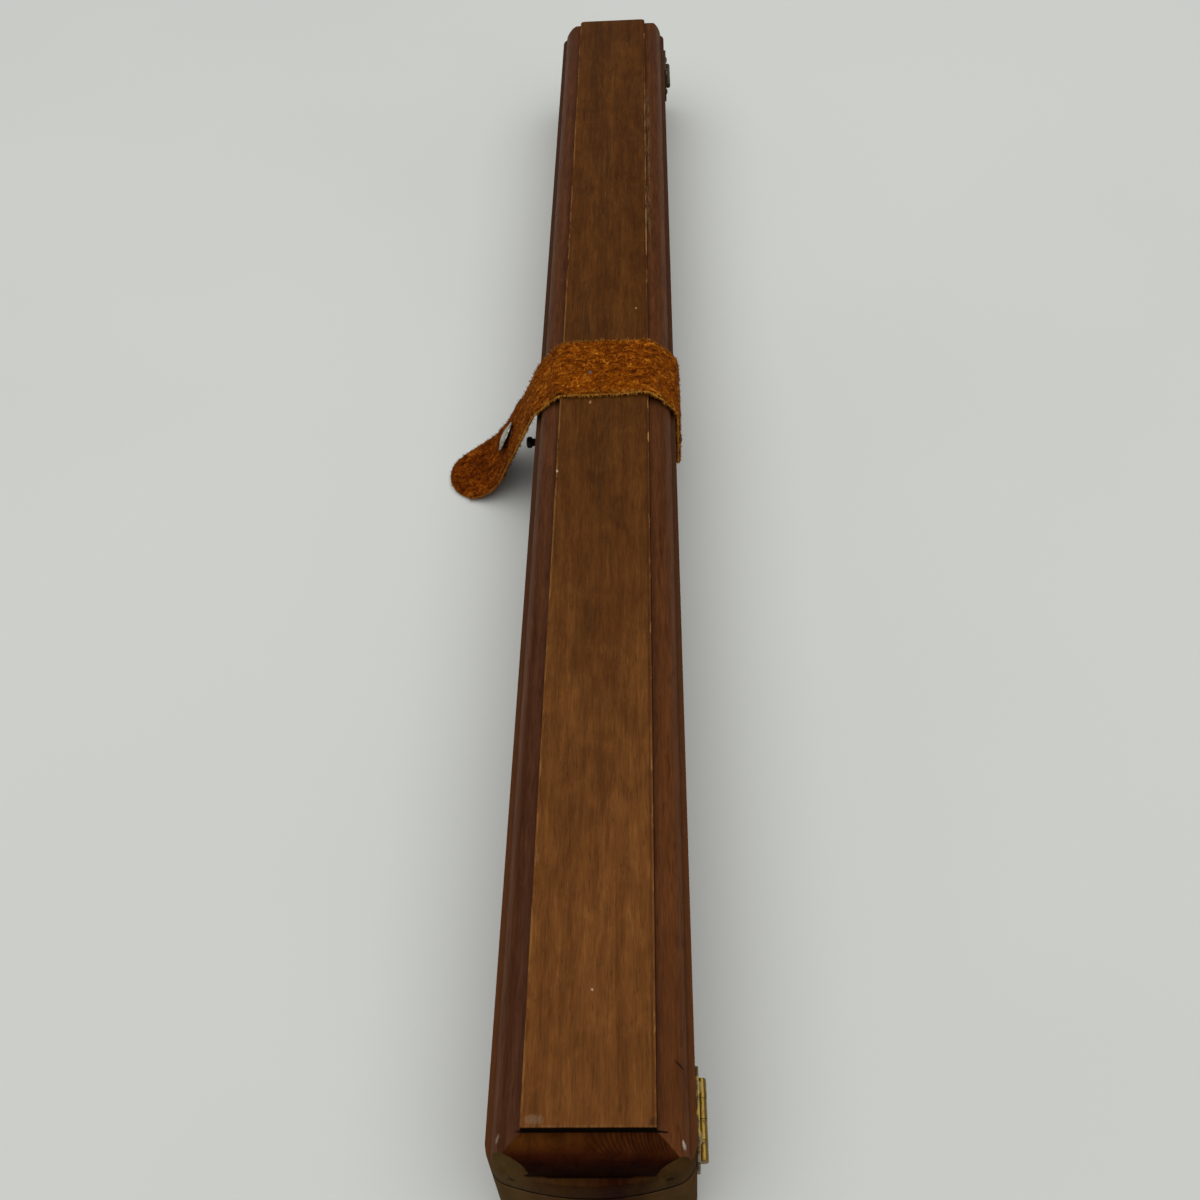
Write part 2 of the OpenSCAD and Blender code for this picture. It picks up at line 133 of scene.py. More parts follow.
class Amount:
    """A number that varies over a surface. Sums and products of it add their nodes."""

    def __init__(self, finish, socket):
        self.finish = finish
        self.socket = socket

    def math(self, operation, first, second=0.0):
        return self.finish.node("Math", {"operation": operation}, {0: first, 1: second})

    def __add__(self, other):
        return self.math("ADD", self, other)

    def __radd__(self, other):
        return self.math("ADD", other, self)

    def __sub__(self, other):
        return self.math("SUBTRACT", self, other)

    def __rsub__(self, other):
        return self.math("SUBTRACT", other, self)

    def __mul__(self, other):
        return self.math("MULTIPLY", self, other)

    def __abs__(self):
        return self.math("ABSOLUTE", self)


class Finish:
    """A material, and the nodes that make it."""

    def __init__(self, name, **constants):
        self.material = bpy.data.materials.new(name)
        self.material.use_nodes = True
        self.tree = self.material.node_tree
        self.shader = self.tree.nodes["Principled BSDF"]
        for socket, value in constants.items():
            self.shader.inputs[socket.replace("_", " ")].default_value = value

    def node(self, kind, settings=None, values=None, output=0):
        made = self.tree.nodes.new("ShaderNode" + kind)
        for key, value in (settings or {}).items():
            if key == "stops":
                ramp = made.color_ramp
                while len(ramp.elements) < len(value):
                    ramp.elements.new(0.5)
                for element, (place, colour) in zip(ramp.elements, value):
                    element.position = place
                    element.color = colour
            else:
                setattr(made, key, value)
        for key, value in (values or {}).items():
            if isinstance(value, Amount):
                self.tree.links.new(value.socket, made.inputs[key])
            else:
                made.inputs[key].default_value = value
        return Amount(self, made.outputs[output])

    def feed(self, socket, amount):
        self.tree.links.new(amount.socket, self.shader.inputs[socket])

    def place(self):
        """Object coordinates."""
        return self.node("TexCoord", output="Object")

    def along(self, place, cell, shift=(0, 0, 0), unit=MM):
        """Coordinates in which one unit is a cell of the given size, in millimetres."""
        return self.node("Mapping", {"vector_type": "POINT"},
                         {"Vector": place, "Scale": tuple(1 / (c * unit) for c in cell),
                          "Location": shift})

    def noise(self, place, cell, detail=2.0, rough=0.5, warp=0.0, shift=(0, 0, 0), unit=MM):
        return self.node("TexNoise", {},
                         {"Vector": self.along(place, cell, shift, unit), "Scale": 1.0,
                          "Detail": detail, "Roughness": rough, "Distortion": warp})

    def split(self, place, unit=MM):
        """X, Y and Z in millimetres."""
        apart = self.node("SeparateXYZ", {},
                          {0: self.along(place, (1, 1, 1), unit=unit)})
        return [Amount(self, socket) for socket in apart.socket.node.outputs]

    def step(self, amount, low, high):
        """0 below low, 1 above high, and smooth between them."""
        return self.node("MapRange", {"interpolation_type": "SMOOTHSTEP"},
                         {"Value": amount, "From Min": low, "From Max": high})

    def between(self, amount, low, high, soft):
        """1 between low and high, 0 outside."""
        return (self.step(amount, low - soft, low + soft)
                * (1 - self.step(amount, high - soft, high + soft)))

    def mix(self, mask, first, second, blend="MIX"):
        return self.node("Mix", {"data_type": "RGBA", "blend_type": blend},
                         {0: mask, 6: first, 7: second}, output=2)

    def ramp(self, amount, stops):
        return self.node("ValToRGB", {"stops": stops}, {0: amount})

    def shade(self, colour, amount, spread, darker, lighter):
        """A colour made darker where the amount is below a half, and lighter where it is above,
        in full at the given distance from a half."""
        stops = [(0.5 - spread, (*darker, 1)), (0.5 + spread, (*lighter, 1))]
        return self.mix(1.0, colour, self.ramp(amount, stops), "MULTIPLY")

    def spot(self, x, y, centre, size, ragged, lean=0.0):
        """1 inside an ellipse of the given half sizes, with a ragged edge."""
        first = (x - centre[0]) * (1 / size[0])
        second = (y - centre[1] + (x - centre[0]) * lean) * (1 / size[1])
        return 1 - self.step(first * first + second * second + (ragged - 0.5) * 2.4, 0.2, 1.5)

    def made(self, colour, roughness, height, strength, depth, **others):
        """The material, once its shader is fed. The bump's depth is in millimetres."""
        bump = self.node("Bump", {},
                         {"Height": height, "Strength": strength, "Distance": depth * MM})
        self.feed("Normal", bump)
        self.feed("Base Color", colour)
        self.feed("Roughness", roughness)
        for socket, amount in others.items():
            self.feed(socket, amount)
        return self.material


def grain_of(f, p):
    """Straight grain along the case: broad bands, streaks, fine fibre, short dark pores and soft
    mottling."""
    def grain(long, wide, *rest):
        return f.noise(p, (long, wide, wide), *rest)
    return (grain(100, 6.5, 3, 0.58, 0.6), grain(20, 1.5, 4, 0.66, 0.7),
            grain(7, 0.55, 3, 0.65, 0.3), f.step(grain(4.6, 0.5, 2, 0.6, 0, (5, 2, 0)), 0.61, 0.72),
            grain(17, 8, 3, 0.6, 0.8, (1, 7, 3)))


def end_colour(f, p, y, z):
    """Stained end grain, the same on the board's ends and on the end blocks under them."""
    sway = f.noise(p, (20, 5, 11), 3, 0.6)
    speck = f.noise(p, (1.6, 0.4, 0.4), 2, 0.6)
    # Paler towards both sides, nearly black just right of the middle
    colour = f.ramp((y + sway * 8 + 21) * 0.02,
                    [(0.04, tone(76, 57, 30)), (0.2, tone(66, 42, 18)), (0.36, tone(58, 34, 10)),
                     (0.5, tone(52, 28, 9)), (0.6, tone(38, 13, 3)), (0.7, tone(38, 14, 3)),
                     (0.8, tone(55, 32, 8)), (0.94, tone(67, 46, 20))])
    # A flame of lighter rays that meet at the heart of the board
    flame = f.node("Math", {"operation": "SINE"},
                   {0: (z + abs(y - 3) * 0.8 + sway * 5) * 2.1})
    flame = f.step(flame, 0.2, 0.9) * f.between(y, -9, 14, 5)
    colour = f.mix(flame * 0.22, colour, tone(66, 34, 9))
    colour = f.shade(colour, sway, 0.14, (0.8, 0.8, 0.78), (1.2, 1.2, 1.2))
    return f.mix(f.step(speck, 0.56, 0.7) * 0.5, colour, tone(28, 15, 8)), speck


class BoardMap:
    """Where a point of the lid board lies, and the grain there."""

    def __init__(self, f):
        self.p = f.place()
        self.x, self.y, self.z = f.split(self.p)
        self.side, self.end = abs(self.y), abs(self.x)
        self.near = f.step(self.x, 20, 300)
        self.right = f.step(self.y, -1, 1)
        self.left = 1 - self.right
        self.on_top = f.step(self.z, FIELD_TOP - 0.45, FIELD_TOP - 0.25)
        self.at_arris = f.step(self.z, FIELD_TOP - 0.7, FIELD_TOP - 0.4)
        self.ledge = f.step(LEDGE_TOP + 0.7 - self.z, 0, 0.3)
        # 1 where the quarter round of an end has taken over from those of the sides
        past_mitre = (self.end - FIELD_HALF_L) - (self.side - FIELD_HALF_W)
        self.at_end = (f.step(past_mitre, -0.4, 0.4)
                       * f.step(self.end, FIELD_HALF_L - 0.1, FIELD_HALF_L + 0.1))
        self.broad, self.streak, self.fibre, self.pore, self.patch = grain_of(f, self.p)


def field_colour(f, b):
    """The raised field: warmer at the near end, greyer at the far end."""
    wood = f.mix(b.near, tone(79, 45, 15), tone(107, 65, 29))
    wood = f.shade(wood, b.broad, 0.16, (0.82, 0.79, 0.76), (1.15, 1.19, 1.21))
    wood = f.shade(wood, b.patch, 0.14, (0.85, 0.83, 0.81), (1.12, 1.15, 1.17))
    wood = f.shade(wood, b.streak, 0.16, (0.82, 0.8, 0.77), (1.15, 1.16, 1.17))
    fleck = f.step(f.noise(b.p, (5.5, 0.5, 0.5), 2, 0.6, 0, (1, 8, 4)), 0.64, 0.76)
    wood = f.mix(fleck * 0.3, wood, tone(146, 100, 56))
    grey = f.step(f.noise(b.p, (70, 3.2, 3.2), 3, 0.6, 0.8, (3, 1, 0)), 0.52, 0.66)
    grey = grey * f.between(b.y, -12, 4, 4)
    return f.mix(grey * (0.6 - b.near * 0.5), wood, tone(57, 37, 15))


def side_round_colour(f, b):
    """The quarter rounds of the sides, in bands, with painted shade beside the field's step and a
    painted dull sheen along their outer part.
    """
    band = f.mix(b.left, tone(90, 51, 24), tone(82, 47, 26))
    # Darker bands, by their distance from the middle line
    far_right = (1 - f.step(b.x, 60, 200)) * b.right
    band = f.mix(f.between(b.side, 22.6, 26.8, 0.8) * far_right * 0.7, band, tone(72, 41, 22))
    near_left = f.step(b.x, 40, 160) * b.left
    band = f.mix(f.between(b.side, 23.8, 26.6, 0.8) * near_left * 0.8, band, tone(66, 36, 19))
    # Painted shade at the foot of the field's step, on both sides
    band = f.mix((1 - f.step(b.side, 20, 22.4)) * 0.5, band, tone(74, 43, 26))
    # Painted shadow beside the step on the near left
    shadow = f.between(b.side, 20.6, 24.2, 0.8) * b.near * b.left
    band = f.mix(shadow * 0.45, band, tone(56, 36, 27))
    # Painted sheen: a dull grey-brown reflection along the rounds' outer part, stronger at the far
    # end and on the left
    dull = f.step(b.side, 25.2, 28.7) * (1 - f.step(b.side, 29.4, 30.2))
    dull = dull * (0.7 - b.near * 0.35) * (0.6 + b.left * 0.4)
    band = f.mix(dull, band, tone(98, 71, 54))
    blotch = f.step(f.noise(b.p, (16, 2.6, 2.6), 3, 0.62, 0.8, (4, 4, 9)), 0.54, 0.66)
    band = f.mix(blotch * 0.4, band, tone(58, 27, 12))
    foot = f.between(b.side, 28.5, 29.2, 0.3) * b.near * b.right
    band = f.mix(foot * 0.45, band, tone(70, 38, 14))
    band = f.shade(band, b.broad * 0.5 + b.patch * 0.5, 0.12, (0.86, 0.84, 0.82),
                   (1.14, 1.15, 1.16))
    band = f.shade(band, b.streak, 0.16, (0.82, 0.8, 0.78), (1.16, 1.17, 1.18))
    return f.mix(b.ledge * 0.9, band, f.mix(b.near, tone(66, 40, 25), tone(84, 48, 24)))


def end_round_colour(f, b):
    """The ends' quarter rounds: golden high on the left, fine rings on the right, and painted shade
    that darkens their dark end grain to nearly black below."""
    rings = f.node("TexWave", {"wave_type": "RINGS", "rings_direction": "X"},
                   {"Vector": f.along(b.p, (60, 2.55, 2.55), (0, 3.8, -11.8)), "Scale": 1.0,
                    "Distortion": 2.2, "Detail": 2.0, "Detail Scale": 0.7})
    sway = f.noise(b.p, (12, 5, 3.5), 3, 0.62, 0.5, (2, 5, 1))
    down = STEP_FOOT + 0.4 - b.z
    # Painted shade: darker from the top of the round down to its foot, as if it turned away from
    # light from above
    wood = f.ramp(f.step(down, 0.2, 9.4),
                  [(0.0, tone(66, 31, 6)), (0.14, tone(48, 17, 3)), (0.34, tone(34, 9, 2)),
                   (0.6, tone(27, 8, 2)), (1.0, tone(22, 5, 1))])
    gold = f.step(8 - b.y, 0, 22) * (1 - f.step(down + sway * 3 - 1.5, 0.4, 2.6))
    wood = f.mix(gold * 0.45, wood, tone(74, 43, 8))
    high = 1 - f.step(down, 1, 4)
    wood = f.mix(f.step(b.y, -4, 8) * high * 0.35, wood, tone(66, 36, 11))
    rings = f.step(rings, 0.35, 0.75) * f.step(b.y, -6, 7) * high
    wood = f.mix(rings * 0.6, wood, tone(40, 14, 3))
    return f.shade(wood, sway, 0.14, (0.7, 0.6, 0.5), (1.25, 1.25, 1.25))


def stained_and_shaded_steps(f, b, colour):
    """The step's faces and the saw cut past the field's corner, made nearly black: stained, and on
    the end faces also painted shade.
    """
    on_step = f.between(b.z, STEP_FOOT - 0.1, FIELD_TOP - 0.6, 0.15)
    step_end = on_step * f.between(b.end, FIELD_HALF_L - 0.5, FIELD_HALF_L + 0.3, 0.1)
    # The step's end faces: stained end grain, darkened further with painted shade
    colour = f.mix(step_end, colour, tone(14, 7, 4))
    step_side = on_step * f.between(b.side, FIELD_HALF_W - 0.3, FIELD_HALF_W + 0.3, 0.1)
    colour = f.mix(step_side * (1 - step_end) * 0.7, colour, tone(34, 17, 10))
    kerf = f.between(b.x, FIELD_HALF_L - 0.2, FIELD_HALF_L + 0.35, 0.1)
    kerf = kerf * f.between(b.y, 19, 22.6, 0.3) * (1 - b.on_top)
    return f.mix(kerf, colour, tone(16, 8, 5))


def worn_and_highlit_arrises(f, b, colour):
    """The field's arrises: rubbed pale with a painted highlight along the sides, and golden and
    broken on the right.
    """
    worn = f.noise(b.p, (15, 1.4, 1.4), 3, 0.7)
    # Painted highlight and rubbed wear: a pale line along the field's side arrises
    rub_and_highlight = f.between(b.side, FIELD_HALF_W - 0.6, FIELD_HALF_W + 0.12, 0.12) * b.at_arris
    rub_and_highlight = rub_and_highlight * f.step(worn + b.left * 0.08, 0.52, 0.62) * (0.8 - b.left * 0.4)
    colour = f.mix(rub_and_highlight, colour, tone(146, 106, 54))
    broken = f.step(f.noise(b.p, (9, 1.2, 1.2), 4, 0.7, 0, (6, 2, 2)), 0.46, 0.56)
    wide = f.between(b.side, 18.8, 21.6, 0.5) * f.between(b.x, -255, -105, 25)
    wide = wide * b.right * f.step(b.z, 55, 56)
    colour = f.mix(wide * broken * 0.55, colour, tone(118, 92, 62))
    # A dark line just inside the right arris
    inside = f.between(b.side, FIELD_HALF_W - 1.3, FIELD_HALF_W - 0.6, 0.15) * b.on_top * b.right
    colour = f.mix(inside * 0.45, colour, tone(54, 31, 14))
    rub_end = f.between(b.end, FIELD_HALF_L - 0.6, FIELD_HALF_L + 0.2, 0.15) * b.at_arris
    return f.mix(rub_end * f.step(worn, 0.4, 0.6) * 0.45, colour, tone(126, 86, 48))


def knocks_and_highlights(f, b, colour):
    """Chips, dents and a scratch, and two painted highlights on the rounded mitre corners: place in
    X and Y, half sizes, lean, colour and strength.
    """
    ragged = f.noise(b.p, (1.3, 0.8, 0.8), 2, 0.6)
    off_field = f.step(b.z, 46.5, 47)
    for centre, size, lean, mark, strength in (
            ((335.8, -15.6), (1.5, 3), 0, (132, 110, 84), 0.38),
            ((336.6, 18.6), (1.4, 1.2), 0, (52, 30, 17), 0.6),
            ((-45, 14.1), (0.9, 0.5), 0, (158, 118, 80), 0.85),
            ((65.7, -19), (0.9, 0.45), 0, (196, 174, 146), 0.85),
            ((22, -6.2), (1.1, 0.6), 0, (164, 124, 86), 0.7),
            ((46.1, 19.3), (3, 0.5), 0, (164, 122, 60), 0.8),
            ((296.5, 0.4), (0.5, 0.45), 0, (180, 158, 130), 0.9),
            ((250, -18.6), (2, 0.7), 0, (122, 92, 64), 0.4),
            ((317.5, 26.4), (1.05, 0.7), -1.2, (34, 18, 12), 0.9),
            # The last two are painted highlights on the rounded corners at the mitres
            ((338.9, -26.6), (1.3, 0.55), 0.2, (144, 126, 110), 0.5),
            ((340.6, 27.2), (1.4, 0.5), -0.2, (176, 166, 152), 0.75)):
        there = b.on_top if abs(centre[1]) < FIELD_HALF_W + 0.1 else off_field
        spot = f.spot(b.x, b.y, centre, size, ragged, lean) * there
        colour = f.mix(spot * strength, colour, tone(*mark))
    return colour


def board_finish():
    """The moulded lid board: warm field, darker bands, stained end grain and worn edges, with
    painted shade, a painted sheen and painted highlights.
    """
    f = Finish("oiled_moulded_board", Specular_IOR_Level=0.03)
    b = BoardMap(f)
    colour = f.mix(b.at_end * (1 - b.ledge), side_round_colour(f, b), end_round_colour(f, b))
    end_grain, _ = end_colour(f, b.p, b.y, b.z)
    far_out = f.step(b.end - b.side * 0.2, 340.2, 341.6)
    colour = f.mix(b.ledge * far_out, colour, end_grain)
    # A dark line along the foot of the ends' quarter rounds, between the corners: painted shade in
    # the crease where the round meets the ledge
    round_end = FIELD_HALF_L + ROUND_R
    foot = (f.between(b.z, LEDGE_TOP + 0.25, LEDGE_TOP + 1, 0.1) * b.at_end
            + f.between(b.end, round_end - 0.2, round_end + 0.3, 0.12) * b.ledge)
    colour = f.mix(foot * (1 - f.step(b.side, 11.5, 13.5)) * 0.85, colour, tone(14, 4, 1))
    colour = f.mix(b.on_top, colour, field_colour(f, b))
    colour = stained_and_shaded_steps(f, b, colour)
    colour = worn_and_highlit_arrises(f, b, colour)
    colour = knocks_and_highlights(f, b, colour)
    pore = b.pore * (1 - b.at_end) * (0.22 + b.on_top * 0.26)
    colour = f.mix(pore, colour, tone(46, 25, 12))
    colour = f.shade(colour, b.fibre, 0.18, (0.84, 0.82, 0.8), (1.16, 1.16, 1.16))
    return f.made(colour, 0.52 + b.patch * 0.2 + b.at_end * 0.2,
                  b.fibre * 0.5 + b.pore * -0.5 + b.streak * 0.15, 0.3, 0.1)


def rubbed_edge(f, p, z, cell, low, high):
    """1 along the base's upper edge, where it is rubbed pale in places."""
    rubbed = f.step(f.noise(p, cell, 3, 0.7), low, high)
    return f.between(z, SEAM - 1.3, SEAM - 0.6, 0.1) * rubbed


def painted_seam_shade(f, z, below, above):
    """1 in the seam's round edges, where painted shade darkens the gap between lid and base, but 0
    on the flat faces that meet there.
    """
    return (f.between(z, SEAM - below, SEAM - 0.05, 0.03)
            + f.between(z, SEAM + 0.05, SEAM + above, 0.03))


def rail_finish():
    """Side rails and floor: oiled wood like the board, with painted shade in the seam."""
    f = Finish("oiled_rail_wood", Specular_IOR_Level=0.05)
    p = f.place()
    z = f.split(p)[2]
    broad, streak, fibre, pore, patch = grain_of(f, p)
    bands = f.step(broad * 0.6 + patch * 0.4, 0.38, 0.62)
    colour = f.mix(bands, tone(72, 40, 20), tone(92, 54, 28))
    colour = f.shade(colour, streak, 0.16, (0.74, 0.72, 0.7), (1.22, 1.24, 1.24))
    rubbed = rubbed_edge(f, p, z, (26, 1.4, 1.4), 0.48, 0.62)
    colour = f.mix(rubbed * 0.3, colour, tone(128, 92, 54))
    colour = f.mix(pore * 0.35, colour, tone(40, 21, 11))
    colour = f.shade(colour, fibre, 0.18, (0.8, 0.78, 0.76), (1.2, 1.2, 1.2))
    # Painted shade in the gap between lid and base
    colour = f.mix(painted_seam_shade(f, z, 0.5, 0.5) * 0.9, colour, tone(16, 8, 5))
    return f.made(colour, 0.5 + patch * 0.22, fibre * 0.5 + pore * -0.5 + streak * 0.4, 0.35, 0.12)


def end_finish():
    """End blocks: end grain on the bow, with short rays, a dark heart, a rubbed seam and painted
    shade in its gap.
    """
    f = Finish("stained_end_grain", Specular_IOR_Level=0.01)
    p = f.place()
    _, y, z = f.split(p)
    patch = f.noise(p, (14, 9, 7), 3, 0.6)
    colour, speck = end_colour(f, p, y, z)
    # The base is paler at both corners than the lid above it
    pale = f.step(SEAM - z, -0.2, 0.2) * (1 - f.between(y, -8, 12, 7))
    colour = f.mix(pale * 0.3, colour, tone(98, 72, 44))
    rubbed = rubbed_edge(f, p, z, (8, 8, 2), 0.44, 0.6)
    colour = f.mix(rubbed * 0.3, colour, tone(132, 100, 62))
    # Painted shade in the gap between lid and base
    colour = f.mix(painted_seam_shade(f, z, 0.6, 0.75) * 0.9, colour, tone(12, 5, 3))
    return f.made(colour, 0.6 + patch * 0.25, speck * 0.6 + patch * 0.3, 0.3, 0.12)


def brass_finish():
    """Brass: bright on the round knuckles, brown and dull on the leaves and at the far hinge."""
    f = Finish("tarnished_brass")
    p = f.place()
    x, y, _ = f.split(p)
    cloud = f.noise(p, (4.5, 2.4, 2.4), 3, 0.6, 0.6)
    fine = f.noise(p, (0.9, 0.7, 0.7), 3, 0.6)
    leaf = 1 - f.step(y, CASE_HALF_W + 0.35, CASE_HALF_W + 0.9)
    far = 1 - f.step(x, -60, 60)
    tarnish = f.step(cloud * 0.9 + fine * 0.1 + leaf * 0.16 + far * 0.14, 0.46, 0.74)
    colour = f.mix(tarnish, tone(138, 112, 53), tone(58, 44, 19))
    colour = f.mix(far * 0.6, colour, tone(50, 44, 26))
    return f.made(colour, 0.26 + tarnish * 0.34, fine * 0.4 + cloud * 0.6, 0.2, 0.06,
                  Metallic=1 - tarnish * 0.55)


def steel_finish(name, worn_and_glinting_low):
    """Black steel that is rubbed bare: grey in places, or brass low on the stud's head. On the
    stud, the black is partly painted shade and the brass patch partly a painted glint.
    """
    f = Finish(name)
    p = f.place()
    cloud = f.noise(p, (2.2, 2.2, 2.2), 4, 0.65)
    fine = f.noise(p, (0.4, 0.4, 0.4), 2, 0.6)
    colour = f.mix(f.step(cloud, 0.4, 0.66), tone(30, 27, 25), tone(58, 48, 40))
    if worn_and_glinting_low:
        _, y, z = f.split(p)
        # Brass low on the stud's head: bare metal, and partly a painted glint
        bare = f.step((cloud - 0.5) * 3 + (STUD_Z - z), 1.3, 2.3)
        bare = bare * f.step(0 - y, CASE_HALF_W + 5.3, CASE_HALF_W + 5.9)
        bare_metal = tone(150, 118, 62)
    else:
        bare = f.step(fine * 0.4 + cloud * 0.6, 0.56, 0.64)
        bare_metal = tone(118, 110, 100)
    return f.made(f.mix(bare * 0.8, colour, bare_metal), 0.5 - bare * 0.15 + fine * 0.1,
                  fine, 0.2, 0.05, Metallic=0.6 + bare * 0.4)


def brad_finish():
    """Rusted nail heads. Those on the left are filled and stained over."""
    f = Finish("rusted_brads", Specular_IOR_Level=0.1)
    p = f.place()
    y = f.split(p)[1]
    rust = f.noise(p, (0.7, 0.7, 0.7), 3, 0.6)
    rusty = f.step(rust, 0.4, 0.6)
    head = f.mix(rusty, tone(20, 10, 6), tone(40, 24, 14))
    filled = f.mix(rusty, tone(56, 40, 18), tone(68, 49, 23))
    return f.made(f.mix(f.step(y, -1, 1), filled, head), 0.7 + rust * 0.2, rust, 0.3, 0.05)


def nickel_finish():
    """Worn nickel, browned where the plating has gone."""
    f = Finish("worn_nickel", Metallic=1.0)
    p = f.place()
    cloud = f.noise(p, (3.4, 3.4, 3.4), 3, 0.6)
    scuff = f.noise(p, (0.3, 3.0, 0.3), 3, 0.7)
    return f.made(f.mix(f.step(cloud, 0.44, 0.6), tone(170, 168, 160), tone(122, 100, 68)),
                  0.26 + f.step(scuff, 0.5, 0.7) * 0.2, scuff, 0.1, 0.03)


def dull_tack_finish():
    """The small tack in the strap: grey and dull, nearly lost in the nap."""
    f = Finish("dulled_tack", Specular_IOR_Level=0.2)
    p = f.place()
    cloud = f.noise(p, (0.9, 0.9, 0.9), 3, 0.6)
    return f.made(f.mix(f.step(cloud, 0.4, 0.62), tone(84, 66, 54), tone(100, 92, 88)),
                  0.65 + cloud * 0.2, cloud, 0.2, 0.04, Metallic=f.step(cloud, 0.4, 0.7) * 0.2)


def suede_finish(name, cut_edge):
    """Napped suede on the strap's own flat map, one unit of which is a millimetre of hide. The
    loose fibres lie past the hide's side on it, at 40 and more."""
    f = Finish(name, Sheen_Weight=0.05, Sheen_Roughness=0.6, Sheen_Tint=tone(220, 140, 50),
               Specular_IOR_Level=0.03)
    hide = f.node("UVMap", {"uv_map": "hide"})
    side, run, _ = f.split(hide, 1)

    def nap(cell, detail, rough, warp=0.0, shift=(0, 0, 0)):
        return f.noise(hide, cell, detail, rough, warp, shift, 1)
    clump = nap((2.7, 3.6, 1), 3, 0.62, 0.9)
    cloud = nap((11, 14, 1), 2, 0.5)
    # The fibres lie along the strap in some places and across it in others
    lie = f.step(nap((6, 6, 1), 2, 0.5, 0.5, (2, 8, 0)), 0.44, 0.56)
    fibre = (nap((0.55, 2.0, 1), 3, 0.6, 1.4, (4, 9, 0)) * lie
             + nap((2.0, 0.55, 1), 3, 0.6, 1.4, (7, 3, 0)) * (1 - lie))
    loose = f.step(side, 30, 31)
    if cut_edge:
        # The cut edge is pale golden fibre, brightened further with painted light on the rim
        colour = f.mix(f.step(fibre, 0.36, 0.64), tone(126, 70, 12), tone(214, 158, 70))
    else:
        colour = f.ramp(fibre * 0.5 + clump * 0.5,
                        [(0.34, tone(34, 11, 0)), (0.43, tone(80, 33, 1)), (0.5, tone(110, 50, 1)),
                         (0.57, tone(142, 75, 3)), (0.67, tone(208, 142, 50))])
        colour = f.shade(colour, cloud, 0.18, (0.74, 0.68, 0.6), (1.22, 1.26, 1.3))
    colour = f.mix(loose * f.step(fibre, 0.46, 0.6) * 0.55, colour, tone(192, 128, 46))
    # Raised nap along both edges, in light tufts
    tufts = f.step(nap((3, 4, 1), 2, 0.5, 0, (3, 3, 0)), 0.46, 0.6)
    tufts = tufts * f.step(abs(side), 15.2, 18.2) * (1 - loose)
    colour = f.mix(tufts * f.step(fibre, 0.42, 0.58) * 0.5, colour, tone(196, 134, 50))
    # The hanging end is darker than the run over the lid
    darker = f.mix(1.0, colour, (0.7, 0.58, 0.5, 1), "MULTIPLY")
    colour = f.mix(f.step(run, 112, 140), colour, darker)
    return f.made(colour, 0.82 + fibre * 0.16, fibre * 0.6 + clump * 0.4, 1.0, 0.45)


def felt_finish():
    """Red wool felt, a little faded in places."""
    f = Finish("wool_felt", Sheen_Weight=0.25, Sheen_Roughness=0.5, Specular_IOR_Level=0.15)
    p = f.place()
    fibre = f.noise(p, (0.5, 0.5, 0.5), 4, 0.7, 2.0)
    tuft = f.noise(p, (1.6, 1.6, 1.6), 3, 0.6, 1.0)
    cloud = f.noise(p, (24, 24, 24), 2, 0.5)
    matted = f.step(fibre * 0.6 + tuft * 0.4, 0.36, 0.64)
    colour = f.mix(matted, tone(78, 18, 26), tone(128, 40, 48))
    colour = f.mix(f.step(cloud, 0.42, 0.66) * 0.4, colour, tone(116, 48, 52))
    return f.made(colour, 0.88 + fibre * 0.1, fibre * 0.6 + tuft * 0.4, 0.7, 0.25)


def table_finish():
    f = Finish("pale_table", Roughness=0.9, Specular_IOR_Level=0.1)
    cloud = f.step(f.noise(f.place(), (420, 420, 420), 3, 0.5), 0.35, 0.65)
    f.feed("Base Color", f.mix(cloud, tone(205, 207, 202), tone(208, 210, 205)))
    return f.material


board_wood = board_finish()
rail_wood = rail_finish()
end_wood = end_finish()
brass = brass_finish()
steel = steel_finish("blackened_steel", False)
# On the stud, the black is partly painted shade
stud_steel = steel_finish("black_stud_in_painted_shade", True)
nickel = nickel_finish()
rusted = brad_finish()
dull_tack = dull_tack_finish()
suede = suede_finish("napped_suede", False)
suede_edge = suede_finish("cut_suede_edge", True)
felt = felt_finish()


# -------------------------------- tools of the bench
def only(piece):
    """Selects one piece and nothing else, in object mode."""
    if bpy.context.object and bpy.context.object.mode != "OBJECT":
        bpy.ops.object.mode_set(mode="OBJECT")
    bpy.ops.object.select_all(action="DESELECT")
    piece.select_set(True)
    bpy.context.view_layer.objects.active = piece


def pick(piece, kind, test):
    """Goes to edit mode with just the faces or the edges that pass a test selected."""
    only(piece)
    bpy.ops.object.mode_set(mode="EDIT")
    bpy.ops.mesh.select_mode(type=kind)
    bpy.ops.mesh.select_all(action="DESELECT")
    mesh = bmesh.from_edit_mesh(piece.data)
    mesh.normal_update()
    for part in {"EDGE": mesh.edges, "FACE": mesh.faces}[kind]:
        if test(part):
            part.select_set(True)
    mesh.select_flush_mode()
    bmesh.update_edit_mesh(piece.data)


def done():
    bpy.ops.object.mode_set(mode="OBJECT")


def middle(edge):
    return (edge.verts[0].co + edge.verts[1].co) / 2


def turn_at(edge):
    """How far an edge's faces turn, in radians: above 0 outside a shape, below 0 in a hollow."""
    return edge.calc_face_angle_signed() if len(edge.link_faces) == 2 else 0


def is_open(edge):
    return len(edge.link_faces) == 1


def bevel(width, rounds, clamp=True):
    """Rounds the selected edges."""
    bpy.ops.mesh.bevel(offset=width * MM, segments=rounds, affect="EDGES", clamp_overlap=clamp)


def set_finish(piece, *materials):
    piece.data.materials.clear()
    for material in materials:
        piece.data.materials.append(material)


def named(piece, name):
    piece.name = piece.data.name = name
    return piece


